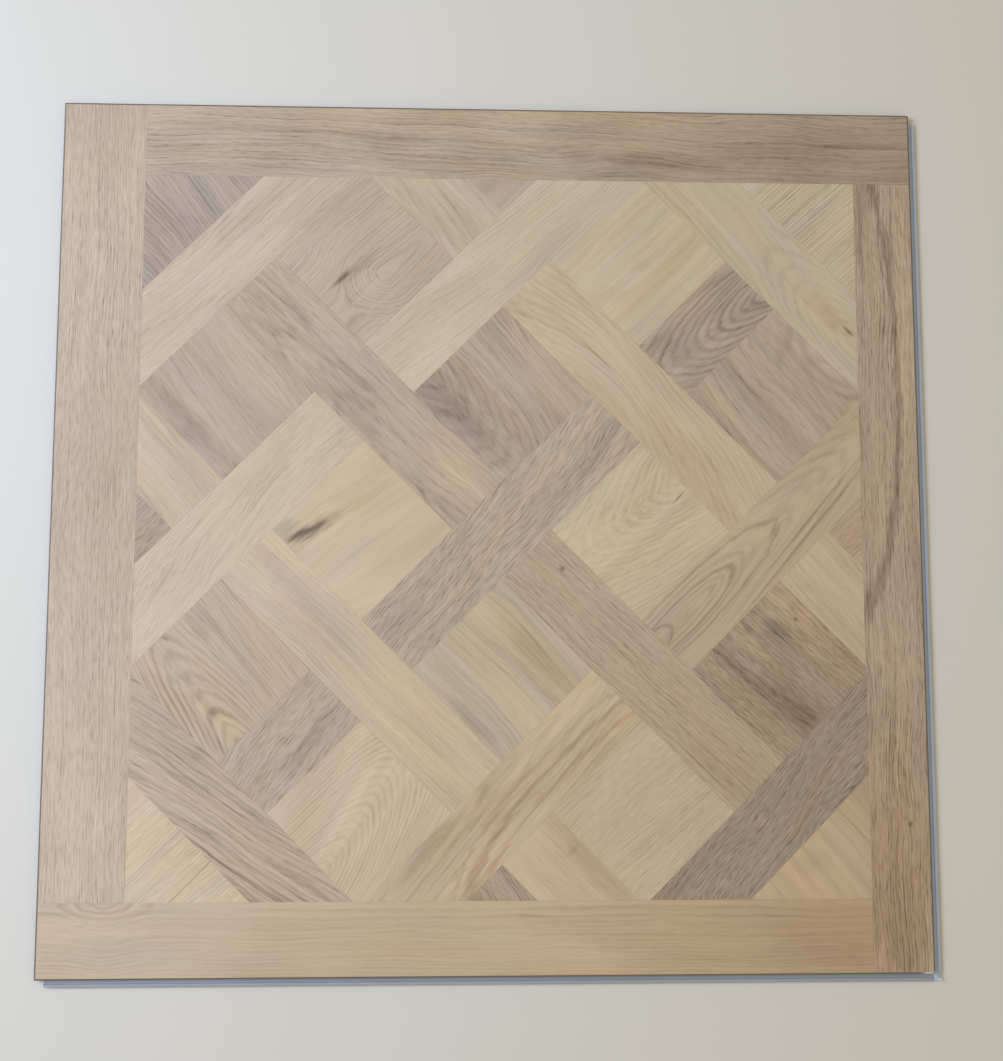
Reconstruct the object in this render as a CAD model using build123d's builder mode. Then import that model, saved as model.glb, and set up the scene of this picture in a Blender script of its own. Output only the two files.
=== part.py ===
"""Square vinyl floor panel with a click edge: a rigid core board and the printed face bonded on it.

Millimetres, +Z up out of the printed face, +X to the right and +Y to the back of the panel. The origin
is the middle of the face square, on the underside. The right and front edges carry the locking lip, and
the left and back edges carry the tongue that drops onto the lip of the next panel.
"""

import os

from build123d import *

# Board
face_side = 600.0  # the face from joint plane to joint plane, the same both ways
core_thickness = 4.4  # rigid vinyl core
face_thickness = 0.6  # printed film under its clear wear layer
bevel_width = 1.0  # painted bevel round the face, measured across the face
bevel_depth = 0.4  # the same bevel, measured down the edge
worn_corner = 1.2  # radius of the rubbed corner at the back right

# Lip edge, as distances beyond the joint plane and heights above the underside
lip_reach = 5.4  # lip's nose beyond the joint plane
lip_toe = 0.2  # chamfer under the nose
lip_nose = 0.5  # chamfer over the nose
ridge_top = 2.2  # height of the locking ridge
ridge_foot = 2.9  # where the ridge's locking face leaves the valley
ridge_lean = 0.4  # how far the locking face leans out on its way up
valley_floor = 1.2  # height of the valley between ridge and groove
valley_start = 1.4  # where the valley's level floor begins
groove_depth = 0.9  # groove behind the joint plane
groove_floor = 1.6  # height of the groove's back, low end
groove_roof = 2.9  # height of the groove's mouth
groove_drop = 0.3  # how far the roof falls towards the back

# Tongue edge and fit
play = 0.1  # clearance between two locked edges
cutter_radius = 0.2  # inside corners left by the cutters
edge_round = 0.3  # outside corners of tongue, tooth and ridge

# Lip ends
lead_width = 0.7  # lead-in on the lip's free end, across the lip
lead_length = 4.0  # the same lead-in, along the lip

half = face_side / 2
blank_half = half + 2 * lip_reach
lip_setback = lip_reach + play

# Corners of each milled edge: beyond the joint plane, above the underside, corner radius
lip_edge = [
    (lip_reach - lip_toe, 0, 0),
    (lip_reach, lip_toe, 0),
    (lip_reach, ridge_top - lip_nose, 0),
    (lip_reach - lip_nose, ridge_top, 0),
    (ridge_foot + ridge_lean, ridge_top, edge_round),
    (ridge_foot, valley_floor, cutter_radius),
    (valley_start, valley_floor, edge_round),
    (-groove_depth, groove_floor, cutter_radius),
    (-groove_depth, groove_roof - groove_drop, cutter_radius),
    (0, groove_roof, 0),
    (0, core_thickness, 0),
]
tongue_edge = [
    (0, core_thickness, 0),
    (0, groove_roof - play, 0),
    (groove_depth - play, groove_roof - groove_drop - play, edge_round),
    (groove_depth - play, groove_floor + play, edge_round),
    (-valley_start, valley_floor + play, edge_round),
    (play - ridge_foot, valley_floor + play, edge_round),
    (play - ridge_foot - ridge_lean, ridge_top + play, cutter_radius),
    (-lip_setback, ridge_top + play, cutter_radius),
    (-lip_setback, 0, 0),
]
outline = [(half + out, up) for out, up, _ in lip_edge] + [(-half - out, up) for out, up, _ in tongue_edge]
radii = [radius for _, _, radius in lip_edge + tongue_edge]

# Section across the board, the tongue on its left and the lip on its right
with BuildSketch() as board_section:
    with BuildLine():
        FilletPolyline(outline, radius=radii, close=True)
    make_face()

# Core: an oversize blank profiled along its left and right edges, then along its back and front edges
with BuildPart() as core_board:
    with BuildSketch(Plane.XZ):
        add(board_section.sketch_local)
    extrude(amount=blank_half, both=True)
    with BuildSketch(Plane(origin=(0, 0, 0), x_dir=(0, -1, 0), z_dir=(-1, 0, 0))):
        add(board_section.sketch_local)
    extrude(amount=blank_half, both=True, mode=Mode.INTERSECT)
    # Each lip stops short of the tongue edge it runs up to, where the next panel's lip corner goes
    with BuildSketch():
        with BuildLine():
            Polyline(
                (half, half - lip_setback),
                (half + lip_reach - lead_width, half - lip_setback),
                (half + lip_reach, half - lip_setback - lead_length),
                (blank_half, half - lip_setback - lead_length),
                (blank_half, blank_half),
                (half, blank_half),
                close=True,
            )
        make_face()
        mirror(about=Plane(origin=(0, 0, 0), z_dir=(1, 1, 0)))
    extrude(amount=core_thickness, mode=Mode.SUBTRACT)
    # The rubbed corner rounds the joint walls above the groove
    with BuildSketch(Plane.XY.offset(groove_roof)):
        with Locations((half, half)):
            Rectangle(worn_corner, worn_corner, align=(Align.MAX, Align.MAX))
        with Locations((half - worn_corner, half - worn_corner)):
            Circle(worn_corner, mode=Mode.SUBTRACT)
    extrude(amount=core_thickness - groove_roof, mode=Mode.SUBTRACT)

# Face: the printed sheet covers the core up to the joint planes, its rim bevelled all round
with BuildPart() as face_layer:
    with BuildSketch(Plane.XY.offset(core_thickness)) as sheet:
        Rectangle(face_side, face_side)
        fillet(sheet.vertices().sort_by(lambda corner: corner.X + corner.Y)[-1], worn_corner)
    extrude(amount=face_thickness)
    top = face_layer.faces().sort_by(Axis.Z)[-1]
    chamfer(top.edges(), bevel_width, bevel_depth, reference=top)

os.makedirs("parts", exist_ok=True)

core_board.part.label = "core_board"
export_step(core_board.part, "parts/core_board.step")

face_layer.part.label = "face_layer"
export_step(face_layer.part, "parts/face_layer.step")
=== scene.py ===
import math

import bpy
import numpy as np
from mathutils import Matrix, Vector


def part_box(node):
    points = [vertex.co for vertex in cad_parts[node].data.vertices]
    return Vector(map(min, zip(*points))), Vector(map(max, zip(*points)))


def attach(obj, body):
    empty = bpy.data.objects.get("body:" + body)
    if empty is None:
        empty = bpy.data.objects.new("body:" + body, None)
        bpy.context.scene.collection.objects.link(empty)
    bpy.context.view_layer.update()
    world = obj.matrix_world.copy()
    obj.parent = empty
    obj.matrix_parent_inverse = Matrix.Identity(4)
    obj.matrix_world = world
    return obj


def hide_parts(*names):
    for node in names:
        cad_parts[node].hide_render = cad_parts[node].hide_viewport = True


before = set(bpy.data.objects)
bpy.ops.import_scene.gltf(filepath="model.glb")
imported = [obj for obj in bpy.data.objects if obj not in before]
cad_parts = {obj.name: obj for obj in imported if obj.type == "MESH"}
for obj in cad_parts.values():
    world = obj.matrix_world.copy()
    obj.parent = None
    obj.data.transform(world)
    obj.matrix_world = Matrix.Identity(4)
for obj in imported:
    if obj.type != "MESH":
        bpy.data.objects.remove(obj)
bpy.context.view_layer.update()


# Core board
# The body of the panel: vinyl filled with limestone powder, extruded as a flat grey board.
# Its edges are milled into locking lips and tongues, and the cutters leave fine lines along them.

core_grey = (0.300, 0.332, 0.385, 1.0)  # blue-grey of the filled vinyl
right_lip_painted_light = (1.45, 1.56, 1.80, 1.0)  # painted light: tint that makes the right lip paler and bluer than the front one
burr_white = (0.80, 0.81, 0.84, 1.0)  # frayed vinyl on the lips' noses and at their outer corner
milled_from = 0.2935  # distance from the middle, in metres, past which the board is milled
nose_from = 0.3048  # the same, past which a lip rounds off
right_lip_from = (0.2999, 0.3003)  # the same, across which the right lip begins
face_shadow_ends = (0.3022, 0.3040)  # the same, across which it comes out of the shadow of the face
lit_lip_share = 0.35  # how much of the painted light is left on the lip out of that shadow


def place(tree, kind, feeds, **options):
    """One shader node: options are its settings, feeds its input values or the sockets that drive them."""
    made = tree.nodes.new("ShaderNode" + kind)
    for name, value in options.items():
        setattr(made, name, value)
    for name, value in feeds.items():
        if isinstance(value, bpy.types.NodeSocket):
            tree.links.new(value, made.inputs[name])
        else:
            made.inputs[name].default_value = value
    return made


def work_out(tree, operation, *values):
    """Arithmetic on shader values: the operation, then what it works on."""
    return place(tree, "Math", dict(enumerate(values)), operation=operation).outputs[0]


def ease(tree, value, low, high):
    """0 below low, 1 above high, and a smooth step between; with low above high the step falls."""
    feeds = {"Value": value, "From Min": low, "From Max": high}
    return place(tree, "MapRange", feeds, interpolation_type="SMOOTHSTEP").outputs[0]


def cloud(tree, along, across, layer, detail=2.0, roughness=0.5):
    """Noise from 0 to 1 over two stretched coordinates, with a third that gives each piece its own pattern."""
    spot = place(tree, "CombineXYZ", {"X": along, "Y": across, "Z": layer}).outputs[0]
    feeds = {"Vector": spot, "Scale": 1.0, "Detail": detail, "Roughness": roughness}
    return place(tree, "TexNoise", feeds).outputs["Fac"]


def new_group(name, takes, gives):
    """A node group with named sockets: its tree, then the sockets of what it takes and of what it gives."""
    group = bpy.data.node_groups.new(name, "ShaderNodeTree")
    for socket, kind in takes.items():
        group.interface.new_socket(socket, in_out="INPUT", socket_type="NodeSocket" + kind)
    for socket, kind in gives.items():
        group.interface.new_socket(socket, in_out="OUTPUT", socket_type="NodeSocket" + kind)
    return group, group.nodes.new("NodeGroupInput").outputs, group.nodes.new("NodeGroupOutput").inputs


def use_group(tree, group, feeds):
    """One use of a node group, with its own values."""
    made = tree.nodes.new("ShaderNodeGroup")
    made.node_tree = group
    for name, value in feeds.items():
        if isinstance(value, bpy.types.NodeSocket):
            tree.links.new(value, made.inputs[name])
        else:
            made.inputs[name].default_value = value
    return made.outputs


# Matt vinyl has a fine tooth: grains of about half a millimetre over a slower unevenness
matt_tooth, takes, gives = new_group(
    "matt_tooth", {"Place": "Vector", "Grain Size": "Float"}, {"Tooth": "Float", "Cloud": "Float"}
)
scaled = place(
    matt_tooth,
    "VectorMath",
    {0: takes["Place"], "Scale": work_out(matt_tooth, "DIVIDE", 1.0, takes["Grain Size"])},
    operation="SCALE"
).outputs[0]
for socket, fineness, detail in (("Tooth", 1.0, 1.0), ("Cloud", 0.02, 2.0)):
    noise = place(matt_tooth, "TexNoise", {"Vector": scaled, "Scale": fineness, "Detail": detail})
    matt_tooth.links.new(noise.outputs["Fac"], gives[socket])

core_vinyl = bpy.data.materials.new("grey_core_vinyl")
core_vinyl.use_nodes = True
tree = core_vinyl.node_tree
shader = tree.nodes["Principled BSDF"]
where = place(tree, "TexCoord", {}).outputs["Object"]
split = place(tree, "SeparateXYZ", {0: where}).outputs
from_x, from_y = work_out(tree, "ABSOLUTE", split["X"]), work_out(tree, "ABSOLUTE", split["Y"])
outwards, lengthwise = work_out(tree, "MAXIMUM", from_x, from_y), work_out(tree, "MINIMUM", from_x, from_y)
milled = ease(tree, outwards, milled_from, milled_from + 0.001)
tooth = use_group(tree, matt_tooth, {"Place": where, "Grain Size": 0.0004})
cutter = cloud(
    tree,
    work_out(tree, "MULTIPLY", lengthwise, 25.0),
    work_out(tree, "MULTIPLY", outwards, 3200.0),
    work_out(tree, "MULTIPLY", split["Z"], 3200.0)
)
rolled = cloud(
    tree, work_out(tree, "MULTIPLY", split["X"], 4.0), work_out(tree, "MULTIPLY", split["Y"], 420.0), 0.0, 3.0
)
lines = place(
    tree,
    "Mix",
    {
        "Factor": milled,
        2: work_out(tree, "MULTIPLY_ADD", rolled, 0.10, 0.95),
        3: work_out(tree, "MULTIPLY_ADD", cutter, 0.22, 0.89)
    }
).outputs[0]
speckle = work_out(tree, "MULTIPLY_ADD", tooth["Tooth"], 0.16, 0.92)
patches = work_out(tree, "MULTIPLY_ADD", tooth["Cloud"], 0.12, 0.94)
level = work_out(tree, "MULTIPLY", work_out(tree, "MULTIPLY", lines, speckle), patches)
burr = ease(tree, cloud(tree, work_out(tree, "MULTIPLY", lengthwise, 170.0), 0.0, 0.0, 1.0), 0.62, 0.70)
burr = work_out(tree, "MULTIPLY", burr, ease(tree, outwards, nose_from, nose_from + 0.0004))
corner = ease(
    tree,
    work_out(tree, "MINIMUM", split["X"], work_out(tree, "MULTIPLY", split["Y"], -1.0)),
    nose_from - 0.0022,
    nose_from
)
burr = work_out(tree, "MAXIMUM", work_out(tree, "MULTIPLY", burr, 0.5), work_out(tree, "MULTIPLY", corner, 0.85))
grey = place(tree, "VectorMath", {0: core_grey[:3], "Scale": level}, operation="SCALE").outputs[0]
# Painted light on the right lip: tinted paler and bluer, fully where the face's shadow lies on it and in part beyond
painted_lip_light = work_out(
    tree,
    "MULTIPLY",
    ease(tree, split["X"], *right_lip_from),
    place(
        tree,
        "MapRange",
        {
            "Value": split["X"],
            "From Min": face_shadow_ends[0],
            "From Max": face_shadow_ends[1],
            "To Min": 1.0,
            "To Max": lit_lip_share
        }
    ).outputs[0]
)
grey = place(
    tree, "Mix", {"Factor": painted_lip_light, 6: grey, 7: right_lip_painted_light}, data_type="RGBA", blend_type="MULTIPLY"
).outputs[2]
tree.links.new(
    place(tree, "Mix", {"Factor": burr, 6: grey, 7: burr_white}, data_type="RGBA").outputs[2],
    shader.inputs["Base Color"]
)
tree.links.new(work_out(tree, "MULTIPLY_ADD", tooth["Tooth"], 0.16, 0.44), shader.inputs["Roughness"])
relief = work_out(tree, "MULTIPLY_ADD", lines, 1.6, tooth["Tooth"])
bump = place(tree, "Bump", {"Strength": 0.35, "Distance": 0.00004, "Height": relief}).outputs[0]
tree.links.new(bump, shader.inputs["Normal"])

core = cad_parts["core_board"]
core.data.materials.clear()
core.data.materials.append(core_vinyl)


# Printed face
# A film printed as oak Versailles parquet, under a matt clear wear layer, pressed onto the core in one sheet.
# The press leaves every stave a hair proud of its joint lines, and the rim is bevelled and painted brown.

face_low, face_high = np.array(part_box("face_layer")) * 1000.0  # millimetres, as all sizes of the print are
bevel_width, bevel_depth = 1.0, 0.4
rubbed_corner = 1.2  # radius of the worn corner at the back right
# A stave's pressed edge, as distance in from the joint, depth below the face and share of the joint's shade
press_profile = [(0.0, 0.04, 1.0), (0.12, 0.026, 0.55), (0.4, 0.0, 0.0)]

# The lattice is turned by an eighth of a turn about its own middle;
# its joints run along a, up to the right, and b, down to the right
strip, square = 48.3, 87.2
lattice_middle = np.array([8.0, -1.0])
lattice_axes = np.array([[1.0, 1.0], [1.0, -1.0]]) / math.sqrt(2)
field = {"left": -242.4, "right": 258.4, "front": -250.4, "back": 248.4}
steps = strip / 2 + np.array(
    [0.0, square, square + strip, 2 * square + strip, 2 * square + 2 * strip, 3 * square + 2 * strip]
)
joints = np.concatenate([-steps[::-1], [0.0], steps])  # joint n is joints[n + 6]; the last lie past the field

tones = {
    "pale": (193, 174, 149),
    "light": (188, 170, 147),
    "ash": (186, 167, 144),
    "sand": (184, 164, 139),
    "tan": (178, 159, 138),
    "brown": (172, 153, 134),
    "grey": (163, 144, 127),
    "dark": (154, 135, 118),
}
bevel_brown = (0.150, 0.118, 0.098)  # paint on the bevel
joint_brown = (0.62, 0.58, 0.55, 1.0)  # shade of the print at a joint line

# Field staves: joints they reach between along a and b, way of the grain, tone and its warmth,
# heart of the growth rings as (a, b), how fast they sink below the face ahead of it and behind it,
# how deep they go, tilt in degrees, ring width, boldness of the grain, how far it wanders,
# how streaky the tone is and how far the lines break into dashes
field_staves = {
    "corner_back_left": ((-6, 6), (-6, -5), "b", "grey", -2.0, (-64, -290), 0.03, 0.22, 99, 9, 4.2, 0.95, 3, 1.4, 0.2),
    "long_back_left": ((-6, 6), (-5, -4), "a", "ash", -1.6, (-45, -304), 0.10, 0.30, 99, 3, 3.6, 0.65, 3, 0.8, 0.3),
    "wedge_left_upper": ((-4, -3), (-4, -3), "a", "grey", 0.0, (-170, -330), 0.02, 0.02, 99, 0, 2.6, 1.1, 2, 1.8, 0.6),
    "end_left_upper": ((-3, -2), (-6, -3), "b", "sand", 0.0, (-60, -230), 0.02, 0.02, 99, 6, 4.2, 0.52, 3, 1.0, 0.1),
    "square_1": ((-2, -1), (-4, -3), "b", "brown", -0.2, (-99, -300), 0.14, 0.02, 99, 3, 3.6, 0.65, 3, 1.2, 0.3),
    "middle_upper": ((-1, 1), (-4, -1), "b", "brown", 0.0, (-14, -30), 0.05, 0.10, 99, 0, 4.8, 0.95, 4, 1.0, 0.3),
    "square_2": ((1, 2), (-4, -3), "a", "tan", -0.8, (66, -187), 0.05, 0.70, 26, 0, 3.0, 0.8, 3, 0.9, 0.3),
    "end_back": ((2, 3), (-6, -3), "b", "ash", -0.8, (116, -262), 0.12, 0.03, 99, 6, 5.0, 0.62, 3, 0.9, 0.2),
    "wedge_back": ((3, 4), (-4, -3), "a", "tan", -2.0, (180, -330), 0.02, 0.02, 99, 0, 4.0, 0.07, 2, 1.7, 0.3),
    "cross_left_upper": ((-6, -1), (-3, -2), "a", "light", 0.5, (-80, -60), 0.50, 0.40, 99, -4, 3.6, 0.65, 3, 0.7, 0.3),
    "cross_back": ((1, 6), (-3, -2), "a", "pale", -1.2, (195, -205), 0.30, 0.25, 99, 0, 3.4, 0.56, 4, 0.7, 0.2),
    "long_front_left": ((-5, -4), (-6, 6), "b", "brown", 0.9, (-420, -40), 0.02, 0.10, 99, -13, 6.0, 1.75, 3, 0.6, 0.0),
    "square_3": ((-4, -3), (-2, -1), "b", "tan", 0.8, (-233, -10), 0.02, 0.16, 99, 9.7, 4.0, 0.95, 3, 1.0, 0.1),
    "bar_left": ((-3, -2), (-2, 2), "b", "light", 0.6, (-195, 0), 0.03, 0.03, 99, -2, 3.6, 0.55, 3, 1.0, 0.3),
    "square_4": ((-2, -1), (-2, -1), "a", "pale", 0.4, (-70, 40), 0.03, 0.03, 99, 8, 4.5, 0.27, 3, 0.8, 0.3),
    "square_5": ((1, 2), (-2, -1), "b", "brown", -0.2, (40, -165), 0.22, 0.02, 99, 4, 5.0, 0.73, 4, 1.7, 0.3),
    "bar_right": ((2, 3), (-2, 2), "b", "light", 0.3, (98, -10), 0.30, 0.30, 99, 4, 5.2, 0.47, 3, 1.1, 0.2),
    "square_6": ((3, 4), (-2, -1), "a", "pale", -0.8, (200, 60), 0.03, 0.03, 99, 2, 4.5, 0.35, 3, 1.0, 0.3),
    "long_back_right": ((4, 5), (-6, 6), "b", "light", -0.7, (270, 78), 0.05, 0.28, 30, 4, 5.4, 0.45, 3, 1.0, 0.3),
    "corner_back_right": ((5, 6), (-6, 6), "a", "light", -0.7, (300, 130), 0.02, 0.02, 99, 3, 3.5, 0.90, 1, 0.7, 0.1),
    "corner_front_left": ((-6, -5), (-6, 6), "a", "pale", 0.4, (-320, 150), 0.02, 0.02, 99, 4, 3.2, 0.8, 2, 0.9, 0.3),
    "short_left": ((-4, -3), (-1, 1), "a", "brown", -0.6, (-180, 80), 0.03, 0.03, 99, -9, 2.6, 1.1, 4, 0.7, 0.8),
    "heart": ((-2, 2), (-1, 1), "a", "brown", -0.4, (60, 110), 0.05, 0.05, 99, -8, 2.6, 1.15, 4, 0.8, 0.9),
    "short_right": ((3, 4), (-1, 1), "a", "grey", -1.0, (252, 13), 0.04, 0.25, 99, 8, 4.2, 0.92, 4, 1.5, 0.1),
    "square_7": ((-4, -3), (1, 2), "a", "pale", 0.3, (-262, 78), 0.26, 0.05, 99, -9, 2.9, 0.46, 3, 1.0, 0.1),
    "square_8": ((-2, -1), (1, 2), "b", "sand", -1.0, (20, 90), 0.04, 0.04, 99, 2, 5.2, 0.5, 3, 1.4, 0.2),
    "middle_lower": ((-1, 1), (1, 4), "b", "brown", 1.0, (-60, 150), 0.03, 0.03, 99, -2, 3.6, 1.1, 2, 0.6, 0.5),
    "square_9": ((1, 2), (1, 2), "a", "pale", 0.0, (128, 60), 0.04, 0.30, 40, 5, 4.0, 0.55, 4, 1.2, 0.3),
    "square_10": ((3, 4), (1, 2), "b", "brown", -0.6, (241, 150), 0.02, 0.20, 99, 0, 5.2, 0.85, 4, 1.4, 0.4),
    "cross_front": ((-6, -1), (2, 3), "a", "sand", 0.2, (-265, 118), 0.10, 0.03, 99, -2, 5.0, 0.59, 3, 1.2, 0.2),
    "cross_right_lower": ((1, 6), (2, 3), "a", "tan", 0.4, (60, 130), 0.15, 0.02, 99, 0, 4.4, 0.43, 1, 0.9, 0.2),
    "wedge_front": ((-4, -3), (3, 4), "b", "grey", 0.6, (-260, 200), 0.02, 0.02, 99, 13, 2.6, 1.5, 2, 1.3, 0.5),
    "end_front": ((-3, -2), (3, 6), "b", "pale", 1.4, (-60, 200), 0.04, 0.04, 99, -3, 4.4, 0.36, 3, 0.8, 0.3),
    "square_11": ((-2, -1), (3, 4), "a", "light", 0.4, (-70, 330), 0.03, 0.03, 99, 3, 2.6, 0.75, 2, 0.5, 0.4),
    "square_12": ((1, 2), (3, 4), "b", "dark", 1.0, (58, 60), 0.06, 0.03, 99, -4, 3.6, 1.35, 3, 0.9, 0.8),
    "end_right_lower": ((2, 3), (3, 6), "b", "ash", 0.2, (60, 200), 0.03, 0.03, 99, 4, 5.4, 0.58, 3, 0.5, 0.2),
    "wedge_right": ((3, 4), (3, 4), "a", "brown", 1.3, (170, 260), 0.03, 0.03, 99, 3, 3.2, 1.35, 2, 0.6, 0.6),
    "long_front_right": ((-6, 6), (4, 5), "a", "dark", -0.6, (20, 400), 0.02, 0.02, 99, -7, 3.0, 1.4, 4, 1.0, 0.9),
    "corner_front_right": ((-6, 6), (5, 6), "b", "sand", 0.8, (-60, 320), 0.03, 0.03, 99, 5, 4.4, 0.35, 3, 1.2, 0.3),
}

# Frame staves follow each other round the field like a pinwheel; their hearts are in face millimetres
frame_staves = {
    "left_stile": (
        ("left", "field_left", "field_front", "back"), "y", "tan", 0.0,
        (-190, 60), 0.01, 0.01, 99, 0, 2.3, 1.05, 2, 0.1, 0.5,
    ),
    "back_rail": (
        ("field_left", "right", "field_back", "back"), "x", "brown", 0.0,
        (-60, 205), 0.03, 0.03, 99, -2, 3.6, 1.2, 3, 1.2, 0.3,
    ),
    "right_stile": (
        ("field_right", "right", "front", "field_back"), "y", "grey", 0.9,
        (330, 60), 0.02, 0.02, 99, 0, 2.8, 1.85, 3, 0.8, 0.4,
    ),
    "front_rail": (
        ("left", "field_right", "front", "field_front"), "x", "sand", 0.4,
        (-256, -247), 0.45, 0.45, 18, 0, 3.8, 0.43, 1.5, 0.6, 0.2,
    ),
}

# Staves sawn so that their years show as arches, where the fine lines follow the rings: 1 all of them, 0 none
arches = {
    "square_7": 0.8,
    "short_right": 0.7,
    "square_3": 0.55,
    "corner_back_right": 0.6,
    "corner_back_left": 0.5,
    "square_2": 0.5,
    "square_9": 0.5,
    "square_5": 0.5,
    "bar_right": 0.5,
    "long_back_right": 0.5,
    "cross_right_lower": 0.5,
    "front_rail": 0.5,
    "cross_back": 0.4,
    "cross_front": 0.3,
}


def clipped(outline, normal, reach):
    """The part of a convex outline where normal . point <= reach: corners inside, and where sides cross."""
    over = outline @ np.asarray(normal, float) - reach
    after = np.roll(over, -1)
    share = over / np.where(over == after, 1.0, over - after)
    crossing = outline + share[:, None] * (np.roll(outline, -1, 0) - outline)
    kept = np.stack([over <= 1e-9, over * after < -1e-12], 1).ravel()
    return np.stack([outline, crossing], 1).reshape(-1, 2)[kept]


def with_neighbours(outline, corners):
    """The outline with other staves' corners on its sides put in, sorted by side and share of the side."""
    side = np.roll(outline, -1, 0) - outline
    length = np.linalg.norm(side, axis=1)[:, None]
    offset = corners[None] - outline[:, None]
    share = (offset * side[:, None]).sum(2) / length**2
    away = np.abs(offset[..., 0] * side[:, None, 1] - offset[..., 1] * side[:, None, 0]) / length
    on_side, which = np.nonzero((away < 1e-3) & (share > 1e-5) & (share < 1 - 1e-5))
    order = np.argsort(np.concatenate([np.arange(len(outline)), on_side + share[on_side, which]]))
    return np.concatenate([outline, corners[which]])[order]


def inset(outline, distance):
    """The outline moved in by a distance: each corner goes along the mitre of its two sides' inward normals,
    but no further than where its shorter side has lost three quarters."""
    side = np.roll(outline, -1, 0) - outline
    length = np.linalg.norm(side, axis=1, keepdims=True)
    inward = np.stack([-side[:, 1], side[:, 0]], 1) / length
    before = np.roll(inward, 1, 0)
    apart = np.linalg.norm(inward - before, axis=1, keepdims=True)
    half_turn = apart / np.linalg.norm(inward + before, axis=1, keepdims=True)
    furthest = 0.75 * np.minimum(length, np.roll(length, 1, 0)) / (2 * half_turn + 1e-9)
    moved = np.minimum(distance, furthest) * (before + inward)
    return outline + moved / (1 + (before * inward).sum(1, keepdims=True))


def carried_round(outline, profile):
    """A profile of (in, height) pairs carried round a closed outline: a ring of points for each pair,
    and the four-sided faces between rings."""
    count = len(outline)
    rings = np.stack(
        [np.column_stack([inset(outline, inwards), np.full(count, height)]) for inwards, height in profile]
    )
    here = np.arange(count)
    strip_faces = np.stack([here, (here + 1) % count, (here + 1) % count + count, here + count], 1)
    strips = strip_faces[None] + count * np.arange(len(profile) - 1)[:, None, None]
    return rings.reshape(-1, 3), strips.reshape(-1, 4)


# Outlines of all staves, anticlockwise, and of the flat face inside the bevel
flat_low, flat_high = face_low[:2] + bevel_width, face_high[:2] - bevel_width
turn = np.radians(np.linspace(0, 90, 7))[:, None]
rubbed = flat_high - (rubbed_corner - bevel_width) * (1 - np.hstack([np.cos(turn), np.sin(turn)]))
flat_outline = np.vstack([flat_low, (flat_high[0], flat_low[1]), rubbed, (flat_low[0], flat_high[1])])
flat_outline = np.round(flat_outline, 5)

outlines, names = [], []
for name, (along_a, along_b, *_) in field_staves.items():
    (a_from, a_to), (b_from, b_to) = joints[np.array(along_a) + 6], joints[np.array(along_b) + 6]
    outline = np.array([(a_from, b_from), (a_from, b_to), (a_to, b_to), (a_to, b_from)])
    outline = lattice_middle + outline @ lattice_axes
    for normal, reach in (
        ((-1, 0), -field["left"]), ((1, 0), field["right"]), ((0, -1), -field["front"]), ((0, 1), field["back"])
    ):
        outline = clipped(outline, normal, reach)
    outlines.append(np.round(outline, 5))
    names.append(name)
lines_at = {
    "left": flat_low[0], "right": flat_high[0], "front": flat_low[1], "back": flat_high[1],
    "field_left": field["left"],
    "field_right": field["right"],
    "field_front": field["front"],
    "field_back": field["back"],
}
for name, (sides, *_) in frame_staves.items():
    x_from, x_to, y_from, y_to = (lines_at[side] for side in sides)
    outline = flat_outline
    for normal, reach in (((-1, 0), -x_from), ((1, 0), x_to), ((0, -1), -y_from), ((0, 1), y_to)):
        outline = clipped(outline, normal, reach)
    outlines.append(np.round(outline, 5))
    names.append(name)
names.append("rim")
corners = np.unique(np.vstack(outlines), axis=0)

# Each stave is a flat field with its pressed edge carried round it;
# the rim carries the bevel and the sheet's underside
top = face_high[2]
stave_profile = [(inwards, top - below) for inwards, below, _ in press_profile]
rim_profile = [(-bevel_width, face_low[2]), (-bevel_width, top - bevel_depth), (0.0, top - press_profile[0][1])]
points, faces, stave_of_face, joint_shade = [], [], [], []
made = 0
for number, outline in enumerate(outlines):
    outline = with_neighbours(outline, corners)
    rings, strips = carried_round(outline, stave_profile)
    points.append(rings)
    faces += (strips + made).tolist() + [list(range(made + len(rings) - len(outline), made + len(rings)))]
    stave_of_face += [number] * (len(strips) + 1)
    joint_shade.append(np.repeat([shade for _, _, shade in press_profile], len(outline)))
    made += len(rings)
outline = with_neighbours(flat_outline, corners)
rings, strips = carried_round(outline, rim_profile)
points.append(rings)
faces += (strips + made).tolist() + [list(range(made, made + len(outline)))[::-1]]
stave_of_face += [len(outlines)] * (len(strips) + 1)
joint_shade.append(np.zeros(len(rings)))

# Staves share the points along their joints, so that the sheet is one closed skin
points, first, where_now = np.unique(
    np.round(np.vstack(points), 4), axis=0, return_index=True, return_inverse=True
)
where_now = where_now.ravel()
face_mesh = bpy.data.meshes.new("printed_face")
face_mesh.from_pydata(points / 1000.0, [], [[int(where_now[corner]) for corner in face] for face in faces])
face_mesh.update()

# Print data on the mesh: millimetres along and across the grain from the heart, and each stave's own print
rows = [row[2:] for row in field_staves.values()] + [row[1:] for row in frame_staves.values()]
rows.append(("x", "brown", 0.0, (0, 500), 0.0, 0.0, 99, 0, 3.0, 0.0, 0, 0.0, 0.0))  # the rim, painted over
way = np.array([row[0] for row in rows])
srgb = np.array([tones[row[1]] for row in rows]) / 255.0
warmth = np.array([row[2] for row in rows])[:, None]
tone = ((srgb + 0.055) / 1.055) ** 2.4 * (1 + warmth * [0.02, -0.005, -0.035])
heart = np.array([row[3] for row in rows], float)
ahead, behind, deepest, tilt, ring, bold, wander, streak, dashed = np.array([row[4:13] for row in rows], float).T
arched = np.array([arches.get(name, 0.0) for name in names])
in_lattice = (way == "a") | (way == "b")
totals = np.zeros(len(face_mesh.polygons), int)
face_mesh.polygons.foreach_get("loop_total", totals)
corner_point = np.zeros(len(face_mesh.loops), int)
face_mesh.loops.foreach_get("vertex_index", corner_point)
stave = np.array(stave_of_face)
owner = np.repeat(stave, totals)
spot = points[corner_point, :2]
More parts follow.
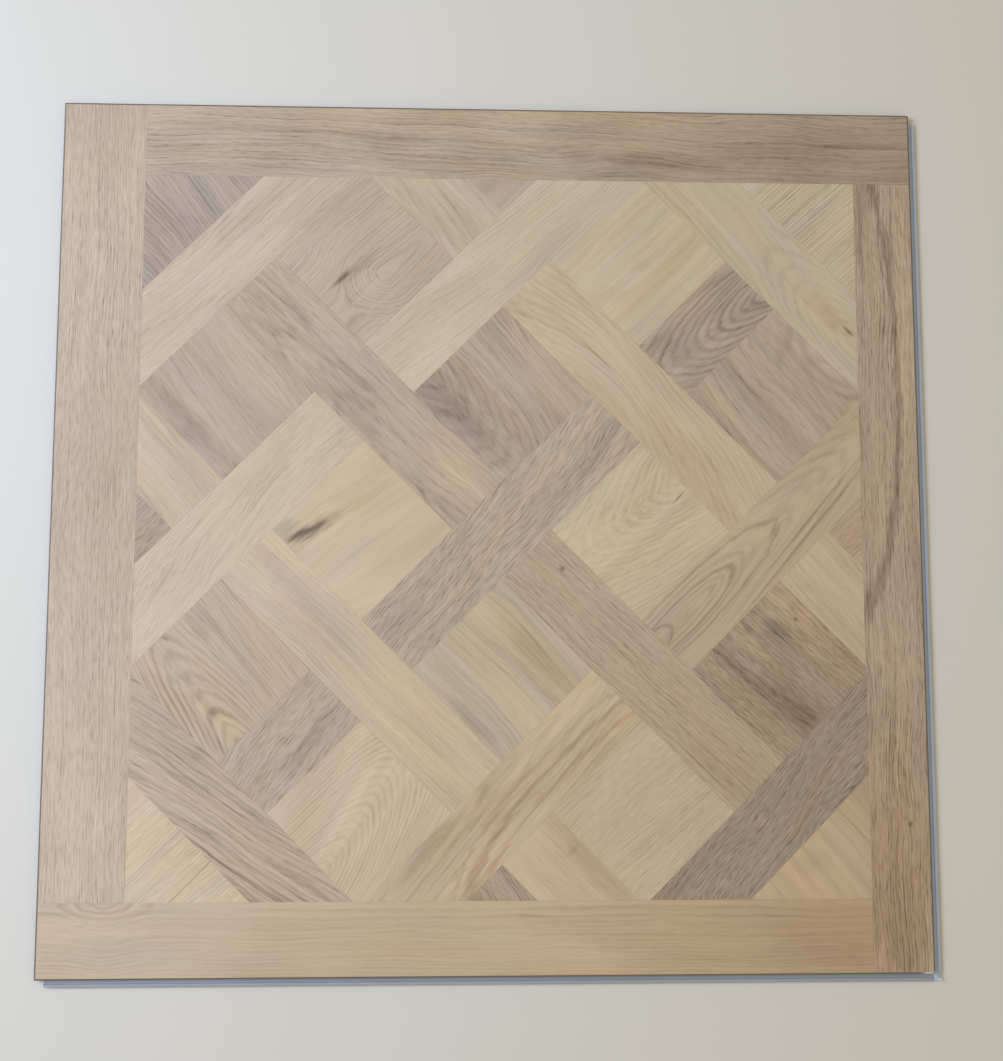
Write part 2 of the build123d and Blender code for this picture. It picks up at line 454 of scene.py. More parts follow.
lattice = (spot - lattice_middle) @ lattice_axes.T
offset = np.where(in_lattice[owner, None], lattice, spot) - heart[owner]
angle = np.radians(tilt[owner])
one = offset[:, 0] * np.cos(angle) + offset[:, 1] * np.sin(angle)
two = offset[:, 1] * np.cos(angle) - offset[:, 0] * np.sin(angle)
lengthways = np.isin(way[owner], ["a", "x"])
grain = np.column_stack([np.where(lengthways, one, two), np.where(lengthways, two, one)])
face_mesh.uv_layers.new(name="grain").uv.foreach_set("vector", grain.astype(np.float32).ravel())
per_face = {
    "tone": tone,
    "figure": np.column_stack([ahead, behind, ring]),
    "print": np.column_stack([bold, wander, streak]),
    "weave": np.column_stack([np.arange(len(rows)), dashed, deepest]),
    "arch": np.column_stack([arched] * 3)
}

# Marks in the print: middle as (a, b), or (x, y) on the frame, turn in degrees, half length, half width,
# raggedness, or a loop's line width below zero, and tint
marks = {
    "square_2": [
        ((48, -204), 0, 13, 3.4, 1.2, (0.44, 0.41, 0.41)),
        ((56, -202), 5, 28, 7.0, 1.2, (0.84, 0.80, 0.80)),
        ((90, -176), 0, 40, 22.0, 0.8, (0.97, 0.94, 0.92)),
    ],
    "square_4": [
        ((-92, -92), 14, 33, 6.5, 1.4, (0.66, 0.63, 0.65)),
        ((-97, -94), 17, 21, 4.2, 0.9, (0.48, 0.46, 0.49)),
        ((-106, -104), 60, 24, 13.0, 0.8, (0.80, 0.79, 0.79)),
        ((-60, -84), 10, 50, 10.0, 0.8, (0.97, 0.93, 0.90)),
    ],
    "square_9": [((103, 70), 0, 8, 1.1, 0.4, (0.45, 0.41, 0.38))],
    "middle_lower": [
        ((10, 48), 0, 3.0, 3.0, 0.5, (0.58, 0.53, 0.50)),
        ((-4, 225), 90, 90, 28.0, 0.6, (0.92, 0.89, 0.85)),
    ],
    "square_12": [
        ((86, 183), 80, 15, 9.5, 0.6, (0.74, 0.75, 0.77)),
        ((47, 184), 88, 44, 5.0, 0.9, (0.72, 0.70, 0.68)),
        ((56, 232), 84, 50, 19.0, 0.7, (0.68, 0.67, 0.64)),
        ((101, 200), 90, 80, 19.0, 0.8, (1.18, 1.15, 1.08)),
        ((66, 185), 90, 34, 7.0, 0.9, (1.12, 1.11, 1.03)),
        ((90, 168), 0, 40, 16.0, 0.6, (1.07, 1.10, 1.09)),
        ((34, 215), 90, 60, 12.0, 0.6, (1.02, 1.06, 1.0)),
        ((100, 186), 0, 1.9, 1.9, 0.3, (0.6, 0.54, 0.5)),
    ],
    "square_6": [
        ((208, -50), 0, 90, 9.0, 0.9, (1.0, 0.92, 0.84)),
        ((202, -64), 20, 12, 6.0, 0.9, (0.93, 0.92, 0.89)),
        ((174, -62), 20, 22, 10.0, 0.8, (0.93, 0.90, 0.86)),
    ],
    "long_back_right": [
        ((272, 55), 88, 38, 10.0, 0.9, (0.96, 0.87, 0.79)),
        ((273, 72), 90, 8, 1.9, 0.6, (0.53, 0.47, 0.44)),
    ],
    "cross_back": [((152, -117), 1, 56, 9.0, 0.9, (0.90, 0.91, 0.96))],
    "square_5": [
        ((36, -80), 92, 66, 17.0, 0.8, (0.74, 0.75, 0.77)),
        ((103, -86), 90, 36, 13.0, 0.8, (1.12, 1.12, 1.14)),
    ],
    "square_1": [
        ((-101, -205), 90, 70, 13.0, 0.8, (0.80, 0.79, 0.80)),
        ((-38, -200), 90, 70, 20.0, 0.6, (1.12, 1.12, 1.11)),
        ((-104, -215), 90, 40, 16.0, 0.8, (0.93, 0.95, 0.92)),
    ],
    "middle_upper": [
        ((-15, -122), 90, 32, 10.0, 0.9, (0.84, 0.81, 0.83)),
        ((7, -208), 93, 30, 5.5, 0.9, (0.83, 0.83, 0.85)),
        ((4, -158), 89, 44, 2.2, 0.8, (0.82, 0.80, 0.80)),
        ((5, -48), 90, 42, 26.0, 0.8, (1.13, 1.10, 1.02)),
    ],
    "end_back": [
        ((109, -200), 88, 34, 8.0, 0.9, (0.85, 0.82, 0.80)),
        ((137, -186), 97, 34, 1.6, 0.6, (0.79, 0.76, 0.74)),
    ],
    "bar_left": [
        ((-129, -66), 90, 66, 10.0, 0.9, (0.92, 0.90, 0.94)),
        ((-137, 60), 90, 70, 24.0, 0.7, (1.05, 1.02, 0.98)),
    ],
    "bar_right": [
        ((134, -42), 90, 24, 1.3, 0.5, (0.81, 0.73, 0.68)),
        ((114, -20), 90, 60, 9.0, 0.9, (0.92, 0.89, 0.86)),
        ((122, 55), 90, 80, 26.0, 0.6, (0.96, 0.91, 0.87)),
    ],
    "long_back_left": [
        ((-34, -286), 0, 56, 12.0, 0.8, (1.01, 0.98, 0.94)),
        ((-72, -264), 0, 50, 30.0, 0.6, (0.97, 0.92, 0.86)),
    ],
    "cross_front": [
        ((-80, 165), 0, 112, 28.0, -0.12, (0.78, 0.71, 0.67)),
        ((-82, 174), 0, 112, 27.0, -0.10, (0.88, 0.79, 0.73)),
        ((-80, 160), 0, 120, 31.0, -0.05, (0.86, 0.81, 0.78)),
        ((-188, 117), 0, 66, 8.0, 0.8, (0.80, 0.76, 0.77)),
        ((-40, 118), 0, 60, 10.0, 0.8, (1.09, 1.08, 1.08)),
        ((-160, 146), 0, 60, 10.0, 0.7, (1.09, 1.08, 1.07)),
    ],
    "cross_right_lower": [
        ((45, 130.5), 0, 49, 10.5, -0.13, (0.72, 0.67, 0.65)),
        ((42, 130), 0, 43, 7.4, -0.12, (0.86, 0.83, 0.81)),
        ((40, 130), 0, 35, 4.2, -0.2, (0.86, 0.83, 0.82)),
        ((46, 129.5), 0, 60, 13.5, -0.07, (0.88, 0.85, 0.83)),
        ((50, 129.5), 0, 88, 17.0, -0.07, (0.78, 0.74, 0.71)),
        ((20, 129), 0, 15, 7.0, -0.2, (0.76, 0.72, 0.71)),
        ((152, 151.5), -5.3, 110, 2.0, 0.6, (0.72, 0.68, 0.64)),
        ((158, 145), -5.3, 100, 1.5, 0.6, (0.76, 0.72, 0.68)),
        ((140, 130), 0, 220, 60.0, 0.3, (1.05, 1.05, 1.05)),
    ],
    "short_right": [
        ((176, 0), 90, 30, 12.0, 0.7, (0.88, 0.88, 0.90)),
        ((204, 4), 60, 24, 14.0, 0.8, (1.10, 1.10, 1.08)),
        ((237, -12), 0, 22, 11.0, 0.7, (0.88, 0.88, 0.91)),
        ((203, 0), 0, 160, 120.0, 0.2, (1.07, 1.07, 1.07)),
    ],
    "square_3": [
        ((-190, -100), 90, 24, 13.0, 0.8, (0.86, 0.85, 0.88)),
        ((-226, -44), 90, 42, 15.0, 0.7, (1.13, 1.11, 1.04)),
        ((-203, -68), 0, 160, 160.0, 0.2, (0.955, 0.955, 0.955)),
    ],
    "long_front_left": [
        ((-258, -70), 90, 60, 30.0, 0.7, (0.91, 0.92, 0.93)),
        ((-255, 60), 90, 200, 60.0, 0.4, (0.96, 0.965, 0.97)),
    ],
    "long_front_right": [((20, 271), 0, 400, 60.0, 0.2, (0.955, 0.955, 0.96))],
    "corner_back_left": [((-64, -300), 0, 120, 80.0, 0.2, (0.955, 0.955, 0.945))],
    "wedge_front": [((-205, 200), 0, 80, 80.0, 0.2, (0.95, 0.945, 0.93))],
    "square_11": [((-68, 203), 0, 160, 120.0, 0.2, (0.965, 0.96, 0.96))],
    "wedge_left_upper": [((-190, -190), 0, 80, 80.0, 0.2, (1.055, 1.04, 1.03))],
    "wedge_back": [((190, -190), 0, 80, 80.0, 0.2, (1.06, 1.025, 1.06))],
    "short_left": [((-188, 10), -14, 46, 9.0, 0.9, (0.87, 0.88, 0.89))],
    "heart": [
        ((72, 8), -8, 52, 12.0, 0.9, (0.89, 0.88, 0.89)),
        ((-92, 6), 0, 40, 32.0, 0.6, (0.91, 0.92, 0.94)),
    ],
    "square_7": [((-203, 68), 0, 160, 160.0, 0.2, (1.02, 1.02, 1.045))],
    "square_8": [
        ((-107, 80), 90, 32, 8.0, 0.9, (0.83, 0.82, 0.85)),
        ((-45, 76), 90, 50, 10.0, 0.9, (0.88, 0.86, 0.84)),
        ((-78, 70), 90, 60, 22.0, 0.6, (1.05, 1.05, 1.05)),
    ],
    "square_10": [
        ((236, 44), -40, 24, 10.0, 0.9, (0.90, 0.88, 0.88)),
        ((171, 38), 90, 38, 12.0, 0.7, (1.12, 1.11, 1.05)),
        ((248, 76), 90, 24, 10.0, -0.3, (0.86, 0.84, 0.83)),
        ((250, 78), 84, 36, 19.0, -0.16, (0.87, 0.85, 0.84)),
    ],
    "end_front": [
        ((-117, 200), 90, 90, 11.0, 0.7, (0.86, 0.84, 0.82)),
        ((-120, 187), 0, 7, 3.0, 0.6, (0.87, 0.84, 0.82)),
    ],
    "corner_front_left": [((-320, 20), 0, 80, 0.9, 0.3, (0.73, 0.70, 0.66))],
    "corner_front_right": [
        ((27, 330), 90, 60, 0.9, 0.3, (0.79, 0.75, 0.71)),
        ((50, 316), 90, 60, 24.0, 0.5, (0.87, 0.84, 0.81)),
        ((-20, 320), 90, 60, 40.0, 0.4, (0.98, 0.96, 0.96)),
        ((-12, 308), 40, 18, 12.0, 0.6, (0.90, 0.90, 0.92)),
    ],
    "right_stile": [
        ((246, 115), 91, 176, 41.0, -0.09, (0.66, 0.63, 0.63)),
        ((291, 150), 90, 170, 7.0, 0.8, (1.16, 1.14, 1.10)),
        ((281, -155), 90, 60, 9.0, 0.7, (1.10, 1.09, 1.05)),
        ((266, 238), 90, 34, 7.0, 0.7, (0.82, 0.80, 0.81)),
        ((263, 190), 90, 90, 2.4, 0.8, (0.86, 0.84, 0.83)),
        ((272, -250), 90, 150, 34.0, 0.5, (0.92, 0.85, 0.77)),
        ((286, -201), 0, 2.4, 2.8, 0.4, (0.50, 0.44, 0.40)),
    ],
    "left_stile": [
        ((-271, 40), 90, 130, 70.0, 0.3, (0.92, 0.89, 0.86)),
        ((-271, -240), 90, 170, 70.0, 0.3, (1.11, 1.11, 1.13)),
        ((-275, 300), 90, 70, 60.0, 0.3, (0.94, 0.95, 0.95)),
    ],
    "back_rail": [
        ((260, 262), 0, 330, 60.0, 0.5, (0.78, 0.76, 0.75)),
        ((20, 296), 0, 280, 12.0, 0.6, (1.05, 1.02, 0.97)),
        ((272, 276), -1, 60, 3.0, 0.9, (0.76, 0.73, 0.71)),
        ((110, 262), -5, 110, 6.0, 0.9, (0.86, 0.83, 0.82)),
        ((60, 276), -3, 150, 4.0, 0.9, (1.10, 1.07, 1.02)),
        ((-150, 283), -2, 120, 3.5, 0.9, (0.88, 0.86, 0.85)),
        ((-190, 253), 0, 90, 8.0, 0.7, (0.84, 0.85, 0.87)),
        ((-75, 277), -2, 56, 7.0, 0.8, (0.84, 0.84, 0.85)),
    ],
    "front_rail": [
        ((230, -275), 0, 300, 70.0, 0.5, (0.92, 0.88, 0.84)),
        ((250, -275), 0, 90, 60.0, 0.4, (0.92, 0.88, 0.87)),
        ((-240, -275), 0, 170, 70.0, 0.3, (1.02, 1.05, 1.12)),
        ((62, -270), 0, 92, 50.0, 0.4, (1.08, 1.07, 1.09)),
        ((-256, -250), 0, 10, 3.6, -0.3, (0.90, 0.88, 0.86)),
        ((-256, -250), 0, 18, 6.8, -0.16, (0.87, 0.84, 0.82)),
        ((-256, -250), 0, 22, 8.8, -0.12, (1.06, 1.07, 1.07)),
        ((-255, -250), 0, 30, 11.0, -0.12, (0.90, 0.88, 0.85)),
    ],
    "wedge_right": [((186, 180), 0, 60, 40.0, 0.4, (0.96, 0.90, 0.91))],
    "rim": [((295, -299.5), 0, 6, 3.0, 0.6, (4.4, 5.4, 6.4))],
}
mark_slots = max(len(on_stave) for on_stave in marks.values())
middle, size = np.zeros((len(names), mark_slots, 2)), np.ones((len(names), mark_slots, 2))
tint = np.ones((len(names), mark_slots, 3))
turned, ragged = np.zeros((len(names), mark_slots)), np.zeros((len(names), mark_slots))
for name, on_stave in marks.items():
    for slot, (at, degrees, half_length, half_width, uneven, colour) in enumerate(on_stave):
        number = names.index(name)
        middle[number, slot], size[number, slot], tint[number, slot] = at, (half_length, half_width), colour
        turned[number, slot], ragged[number, slot] = math.radians(degrees), uneven
for slot in range(mark_slots):
    offset = np.where(in_lattice[owner, None], lattice, spot) - middle[owner, slot]
    angle = turned[owner, slot]
    along_mark = offset[:, 0] * np.cos(angle) + offset[:, 1] * np.sin(angle)
    over_mark = offset[:, 1] * np.cos(angle) - offset[:, 0] * np.sin(angle)
    in_mark = np.column_stack(
        [along_mark / size[owner, slot, 0], over_mark / size[owner, slot, 1], ragged[owner, slot]]
    )
    face_mesh.attributes.new(f"mark_{slot}", "FLOAT_VECTOR", "CORNER").data.foreach_set(
        "vector", in_mark.astype(np.float32).ravel()
    )
    per_face[f"mark_{slot}_tint"] = tint[:, slot]
for name, values in per_face.items():
    face_mesh.attributes.new(name, "FLOAT_VECTOR", "FACE").data.foreach_set(
        "vector", values[stave].astype(np.float32).ravel()
    )
face_mesh.attributes.new("joint", "FLOAT", "POINT").data.foreach_set(
    "value", np.concatenate(joint_shade)[first].astype(np.float32)
)

# Growth rings on a sawn face: r = sqrt(across^2 + depth^2) after a slow wander of the grain, where the depth
# below the face grows away from the heart, at one rate ahead of it and at another behind, down to its deepest;
# a new year begins at each whole number of r / ring width, dark at once and fading out, and a finer comb of
# lines runs along with the rings
growth_rings, takes, gives = new_group(
    "growth_rings",
    {
        "Grain": "Vector",
        "Ahead": "Float",
        "Behind": "Float",
        "Deepest": "Float",
        "Ring": "Float",
        "Wander": "Float",
        "Arched": "Float",
        "Stave": "Float"
    },
    {"Lines": "Float", "Comb": "Float", "Early": "Float", "Across": "Float"},
)
tree = growth_rings
split = place(tree, "SeparateXYZ", {0: takes["Grain"]}).outputs
layer = work_out(tree, "MULTIPLY", takes["Stave"], 7.3)
slow = cloud(
    tree, work_out(tree, "MULTIPLY", split["X"], 0.012), work_out(tree, "MULTIPLY", split["Y"], 0.024), layer, 0.0
)
quick = cloud(
    tree, work_out(tree, "MULTIPLY", split["X"], 0.028), work_out(tree, "MULTIPLY", split["Y"], 0.08), layer, 1.0
)
bend = work_out(
    tree,
    "MULTIPLY_ADD",
    work_out(tree, "SUBTRACT", quick, 0.5),
    1.2,
    work_out(tree, "MULTIPLY", work_out(tree, "SUBTRACT", slow, 0.5), 3.4)
)
across = work_out(tree, "MULTIPLY_ADD", bend, takes["Wander"], split["Y"])
ahead_of = work_out(tree, "MULTIPLY", split["X"], takes["Ahead"])
behind_of = work_out(tree, "MULTIPLY", work_out(tree, "MULTIPLY", split["X"], -1.0), takes["Behind"])
depth = work_out(tree, "ADD", work_out(tree, "SMOOTH_MAX", ahead_of, behind_of, 4.0), 7.0)
depth = work_out(tree, "SMOOTH_MIN", depth, takes["Deepest"], 8.0)
radius = work_out(
    tree, "SQRT", work_out(tree, "MULTIPLY_ADD", across, across, work_out(tree, "MULTIPLY", depth, depth))
)
broken = cloud(
    tree, work_out(tree, "MULTIPLY", split["X"], 0.022), work_out(tree, "MULTIPLY", across, 0.22), layer, 1.0
)
years = work_out(tree, "DIVIDE", radius, takes["Ring"])
fine = work_out(
    tree,
    "MULTIPLY_ADD",
    years,
    1.62,
    work_out(tree, "MULTIPLY", broken, work_out(tree, "MULTIPLY_ADD", takes["Arched"], -1.5, 2.0))
)
wave = work_out(tree, "SINE", work_out(tree, "MULTIPLY", fine, 2 * math.pi))
comb = work_out(tree, "MULTIPLY_ADD", wave, 0.5, 0.5)
uneven = place(
    tree,
    "TexNoise",
    {"W": work_out(tree, "MULTIPLY_ADD", years, 0.27, layer), "Scale": 1.0, "Detail": 0.0},
    noise_dimensions="1D"
).outputs["Fac"]
years = work_out(tree, "MULTIPLY_ADD", uneven, 2.0, years)
part = work_out(tree, "FRACT", years)
fade = work_out(tree, "POWER", work_out(tree, "SUBTRACT", 1.0, part), 2.0)
line = work_out(tree, "MULTIPLY", ease(tree, part, 0.0, 0.18), fade)
which_year = work_out(tree, "ADD", work_out(tree, "FLOOR", years), layer)
strength = place(tree, "TexWhiteNoise", {"W": which_year}, noise_dimensions="1D").outputs["Value"]
line = work_out(tree, "MULTIPLY", line, work_out(tree, "MULTIPLY_ADD", strength, 0.8, 0.2))
line = work_out(tree, "MULTIPLY", line, ease(tree, broken, 0.12, 0.66))
tree.links.new(line, gives["Lines"])
tree.links.new(ease(tree, comb, 0.35, 1.0), gives["Comb"])
tree.links.new(fade, gives["Early"])
tree.links.new(across, gives["Across"])

# A mark in the print, such as a knot, a crack or a stain: an ellipse with an uneven edge, 1 inside and fading
# to 0; the spot is measured in half lengths and half widths of the mark, and its third number says how uneven
# the edge is; below zero it asks for the ellipse's outline only, the loop of a single year, and gives the line's width
stave_mark, takes, gives = new_group("stave_mark", {"Spot": "Vector", "Edge": "Float"}, {"Mark": "Float"})
tree = stave_mark
split = place(tree, "SeparateXYZ", {0: takes["Spot"]}).outputs
reach = work_out(
    tree,
    "SQRT",
    work_out(tree, "MULTIPLY_ADD", split["X"], split["X"], work_out(tree, "MULTIPLY", split["Y"], split["Y"]))
)
blot = ease(tree, work_out(tree, "MULTIPLY_ADD", takes["Edge"], split["Z"], reach), 1.0, 0.15)
off_line = work_out(
    tree, "ABSOLUTE", work_out(tree, "SUBTRACT", work_out(tree, "MULTIPLY_ADD", takes["Edge"], 0.2, reach), 1.0)
)
loop = ease(tree, off_line, work_out(tree, "ABSOLUTE", split["Z"]), 0.0)
tree.links.new(
    place(tree, "Mix", {"Factor": work_out(tree, "LESS_THAN", split["Z"], 0.0), 2: blot, 3: loop}).outputs[0],
    gives["Mark"]
)

printed_oak = bpy.data.materials.new("printed_oak_vinyl")
printed_oak.use_nodes = True
tree = printed_oak.node_tree
shader = tree.nodes["Principled BSDF"]
grain_at = place(tree, "UVMap", {}, uv_map="grain").outputs[0]
base = place(tree, "Attribute", {}, attribute_name="tone").outputs["Vector"]


def carried(name):
    """The three numbers that each stave carries under a name."""
    numbers = place(tree, "Attribute", {}, attribute_name=name).outputs["Vector"]
    return place(tree, "SeparateXYZ", {0: numbers}).outputs


figure, own, weave = carried("figure"), carried("print"), carried("weave")
boldness, streakiness = own["X"], own["Z"]
stave_number, broken_up, deepest = weave["X"], weave["Y"], weave["Z"]
joint = place(tree, "Attribute", {}, attribute_name="joint").outputs["Fac"]
arch = place(tree, "Attribute", {}, attribute_name="arch").outputs["Fac"]
where = place(tree, "TexCoord", {}).outputs["Object"]
rings_out = use_group(
    tree,
    growth_rings,
    {
        "Grain": grain_at,
        "Ahead": figure["X"],
        "Behind": figure["Y"],
        "Deepest": deepest,
        "Ring": figure["Z"],
        "Wander": own["Y"],
        "Arched": arch,
        "Stave": stave_number
    }
)
straight = place(tree, "SeparateXYZ", {0: grain_at}).outputs
along, across = straight["X"], rings_out["Across"]
layer = work_out(tree, "MULTIPLY", stave_number, 11.7)


def grained(length, width, detail=1.0, roughness=0.5):
    """Noise drawn out along the grain, length by width millimetres."""
    drawn_out = work_out(tree, "DIVIDE", along, length)
    return cloud(tree, drawn_out, work_out(tree, "DIVIDE", across, width), layer, detail, roughness)


dashes = ease(tree, grained(8.0, 0.65), 0.42, 0.68)
pricks = grained(7.0, 0.95, 0.0)
pores = ease(tree, pricks, 0.5, 0.78)
whole = work_out(tree, "MULTIPLY_ADD", broken_up, -0.75, 1.0)
breaks = work_out(tree, "MULTIPLY_ADD", work_out(tree, "MULTIPLY", dashes, broken_up), 1.15, whole)
porous = work_out(tree, "MULTIPLY_ADD", work_out(tree, "MULTIPLY", dashes, broken_up), 0.5, pores)
porous = work_out(tree, "MULTIPLY", porous, work_out(tree, "MULTIPLY_ADD", rings_out["Early"], 0.75, 0.3))
fibres = work_out(tree, "SUBTRACT", grained(15.0, 0.95), 0.5)
threads = work_out(tree, "SUBTRACT", grained(60.0, 2.0), 0.5)
ticks = work_out(tree, "MULTIPLY", work_out(tree, "SUBTRACT", pricks, 0.5), broken_up)
streaks = work_out(tree, "SUBTRACT", grained(130.0, 5.5, 1.0, 0.6), 0.5)
clouds = work_out(tree, "SUBTRACT", grained(60.0, 24.0, 0.0), 0.5)
bolder = work_out(tree, "MULTIPLY_ADD", ease(tree, clouds, 0.12, -0.12), 0.5, 0.65)
figured = work_out(tree, "MULTIPLY", bolder, breaks)
combed = work_out(tree, "MULTIPLY", rings_out["Comb"], figured)
lined = work_out(tree, "MULTIPLY", rings_out["Lines"], figured)

# How much darker the print is than the stave's tone, from its rings, comb lines, pores, fibres, threads, ticks,
# streaks and clouds
deep = work_out(
    tree, "MULTIPLY", work_out(tree, "SUBTRACT", combed, 0.28), work_out(tree, "MULTIPLY_ADD", arch, 0.14, 0.12)
)
deep = work_out(
    tree,
    "MULTIPLY_ADD",
    work_out(tree, "SUBTRACT", lined, 0.14),
    work_out(tree, "MULTIPLY_ADD", arch, 0.12, 0.38),
    deep
)
deep = work_out(tree, "MULTIPLY_ADD", work_out(tree, "SUBTRACT", porous, 0.25), 0.14, deep)
deep = work_out(tree, "MULTIPLY_ADD", fibres, work_out(tree, "MULTIPLY_ADD", arch, 0.18, -0.28), deep)
deep = work_out(tree, "MULTIPLY_ADD", threads, work_out(tree, "MULTIPLY_ADD", arch, 0.14, -0.24), deep)
deep = work_out(tree, "MULTIPLY_ADD", ticks, 0.40, deep)
deep = work_out(tree, "MULTIPLY", deep, boldness)
soft = work_out(tree, "MULTIPLY_ADD", streaks, -0.26, work_out(tree, "MULTIPLY", clouds, -0.20))
deep = work_out(tree, "MULTIPLY_ADD", soft, streakiness, deep)
shade = place(tree, "VectorMath", {0: (-0.92, -1.0, -1.07), "Scale": deep}, operation="SCALE").outputs[0]
shade = place(tree, "VectorMath", {0: shade, 1: (1.0, 1.0, 1.0)}, operation="ADD").outputs[0]
colour = place(tree, "VectorMath", {0: base, 1: shade}, operation="MULTIPLY").outputs[0]
warm = work_out(
    tree,
    "SUBTRACT",
    cloud(
        tree,
        work_out(tree, "DIVIDE", along, 90.0),
        work_out(tree, "DIVIDE", across, 18.0),
        work_out(tree, "ADD", layer, 90.0),
        0.0
    ),
    0.5
)
hue = place(
    tree,
    "VectorMath",
    {0: (0.05, 0.0, -0.12), "Scale": work_out(tree, "MULTIPLY", warm, streakiness)},
    operation="SCALE"
).outputs[0]
hue = place(tree, "VectorMath", {0: hue, 1: (1.0, 1.0, 1.0)}, operation="ADD").outputs[0]
colour = place(tree, "VectorMath", {0: colour, 1: hue}, operation="MULTIPLY").outputs[0]

# The bevel is painted, joint lines print a little darker, and the marks lie over both
rim = work_out(tree, "COMPARE", stave_number, float(names.index("rim")), 0.4)
tooth = use_group(tree, matt_tooth, {"Place": where, "Grain Size": 0.0005})
paint = place(
    tree,
    "VectorMath",
    {0: bevel_brown, "Scale": work_out(tree, "MULTIPLY_ADD", tooth["Cloud"], 0.5, 0.75)},
    operation="SCALE"
).outputs[0]
colour = place(tree, "Mix", {"Factor": rim, 6: colour, 7: paint}, data_type="RGBA").outputs[2]
colour = place(
    tree,
    "Mix",
    {"Factor": work_out(tree, "MULTIPLY", joint, 0.3), 6: colour, 7: joint_brown},
    data_type="RGBA",
    blend_type="MULTIPLY"
).outputs[2]
edge = work_out(tree, "SUBTRACT", grained(16.0, 3.0, 1.0, 0.6), 0.5)
for slot in range(mark_slots):
    seen = use_group(
        tree,
        stave_mark,
        {"Spot": place(tree, "Attribute", {}, attribute_name=f"mark_{slot}").outputs["Vector"], "Edge": edge}
    )["Mark"]
    tint = place(tree, "Attribute", {}, attribute_name=f"mark_{slot}_tint").outputs["Color"]
    colour = place(
        tree, "Mix", {"Factor": seen, 6: colour, 7: tint}, data_type="RGBA", blend_type="MULTIPLY"
    ).outputs[2]

tree.links.new(colour, shader.inputs["Base Color"])
tree.links.new(
    work_out(tree, "MULTIPLY_ADD", pores, 0.12, work_out(tree, "MULTIPLY_ADD", tooth["Cloud"], 0.14, 0.44)),
    shader.inputs["Roughness"]
)
shader.inputs["Specular IOR Level"].default_value = 0.4
pressed = ease(
    tree,
    cloud(tree, work_out(tree, "DIVIDE", along, 8.0), work_out(tree, "DIVIDE", straight["Y"], 0.65), layer, 0.0),
    0.42,
    0.68
)
height = work_out(tree, "MULTIPLY", work_out(tree, "MULTIPLY", pressed, -1.0), boldness)
bump = place(tree, "Bump", {"Strength": 0.4, "Distance": 0.00008, "Height": height}).outputs[0]
tree.links.new(bump, shader.inputs["Normal"])

printed_face = bpy.data.objects.new("printed_face", face_mesh)
bpy.context.scene.collection.objects.link(printed_face)
face_mesh.materials.append(printed_oak)
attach(printed_face, "root")
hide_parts("face_layer")


# Studio
# A plain pale floor that fades into a pale backdrop, soft warm light from all round and one cool lamp
# on the left.
# The camera stands almost straight above the panel, a little to the front and left of its middle.

backdrop = (0.60, 0.595, 0.575, 1.0)  # what the camera sees past the floor
floor_pale = (0.62, 0.605, 0.565, 1.0)
floor_half, floor_below = 6.0, 0.0002  # half its side, and how far it lies under the panel, in metres
room_warm, room_strength = (1.0, 0.870, 0.600, 1.0), 0.635  # light from all round
lamp_cool, lamp_power, lamp_side = (0.575, 0.712, 1.0), 19.6, 0.8  # light from the left
floor_fades = (0.65, 1.3)  # distances from the middle between which the floor fades out, in metres

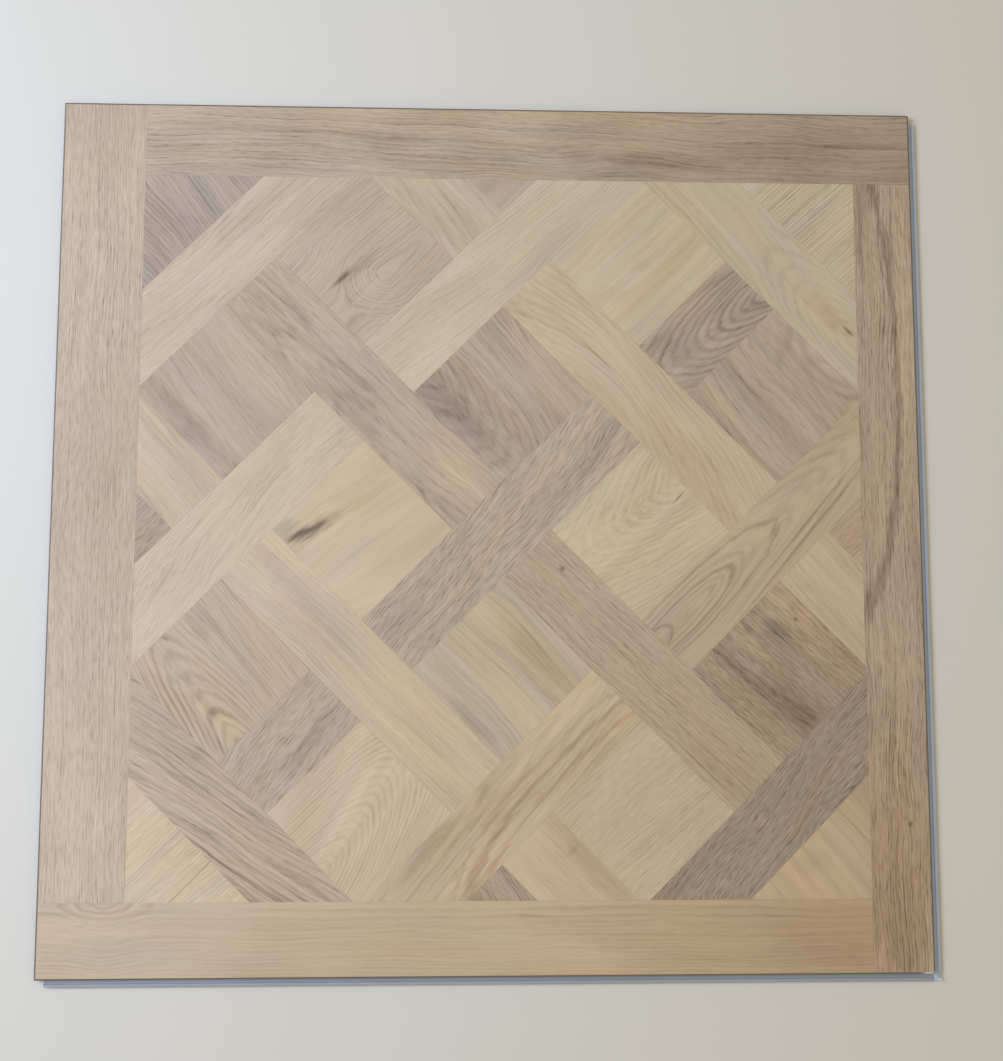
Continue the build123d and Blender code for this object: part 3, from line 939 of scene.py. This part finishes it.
floor_mesh = bpy.data.meshes.new("studio_floor")
floor_mesh.from_pydata(
    [(x * floor_half, y * floor_half, -floor_below) for x, y in ((-1, -1), (1, -1), (1, 1), (-1, 1))],
    [],
    [(0, 1, 2, 3)]
)
floor = bpy.data.objects.new("studio_floor", floor_mesh)
bpy.context.scene.collection.objects.link(floor)
pale_floor = bpy.data.materials.new("pale_floor")
pale_floor.use_nodes = True
tree = pale_floor.node_tree
tree.nodes["Principled BSDF"].inputs["Base Color"].default_value = floor_pale
tree.nodes["Principled BSDF"].inputs["Roughness"].default_value = 0.9
reach = place(
    tree, "VectorMath", {0: place(tree, "TexCoord", {}).outputs["Object"]}, operation="LENGTH"
).outputs["Value"]
fading = place(
    tree,
    "MixShader",
    {
        0: ease(tree, reach, *floor_fades),
        1: tree.nodes["Principled BSDF"].outputs[0],
        2: place(tree, "BsdfTransparent", {}).outputs[0]
    }
)
tree.links.new(fading.outputs[0], tree.nodes["Material Output"].inputs["Surface"])
floor_mesh.materials.append(pale_floor)

world = bpy.data.worlds.new("studio")
world.use_nodes = True
tree = world.node_tree
tree.nodes["Background"].inputs["Color"].default_value = room_warm
tree.nodes["Background"].inputs["Strength"].default_value = room_strength
plain = place(tree, "Background", {"Color": backdrop})
seen = place(
    tree,
    "MixShader",
    {
        0: place(tree, "LightPath", {}).outputs["Is Camera Ray"],
        1: tree.nodes["Background"].outputs[0],
        2: plain.outputs[0]
    }
)
tree.links.new(seen.outputs[0], tree.nodes["World Output"].inputs["Surface"])
bpy.context.scene.world = world


def soft_lamp(name, at, aim, size, power, colour):
    """A square area lamp at a point, turned to face another."""
    lamp = bpy.data.lights.new(name, "AREA")
    lamp.size, lamp.energy, lamp.color = size, power, colour
    holder = bpy.data.objects.new(name, lamp)
    bpy.context.scene.collection.objects.link(holder)
    holder.location = at
    away = np.array(at) - np.array(aim)
    flat_reach = math.hypot(away[0], away[1])
    holder.rotation_euler = (math.atan2(flat_reach, away[2]), 0.0, math.atan2(away[0], -away[1]))


soft_lamp("left_lamp", (-1.0, 0.2, 1.0), (-0.1, 0.0, 0.0), lamp_side, lamp_power, lamp_cool)

camera = bpy.data.cameras.new("camera")
camera.lens = 43.6
viewpoint = bpy.data.objects.new("camera", camera)
viewpoint.location = (-0.02353, -0.09001, 0.88464)
viewpoint.rotation_euler = [math.radians(degrees) for degrees in (5.750, -2.017, 0.038)]
bpy.context.scene.collection.objects.link(viewpoint)
bpy.context.scene.camera = viewpoint
bpy.context.scene.view_settings.view_transform = "Standard"
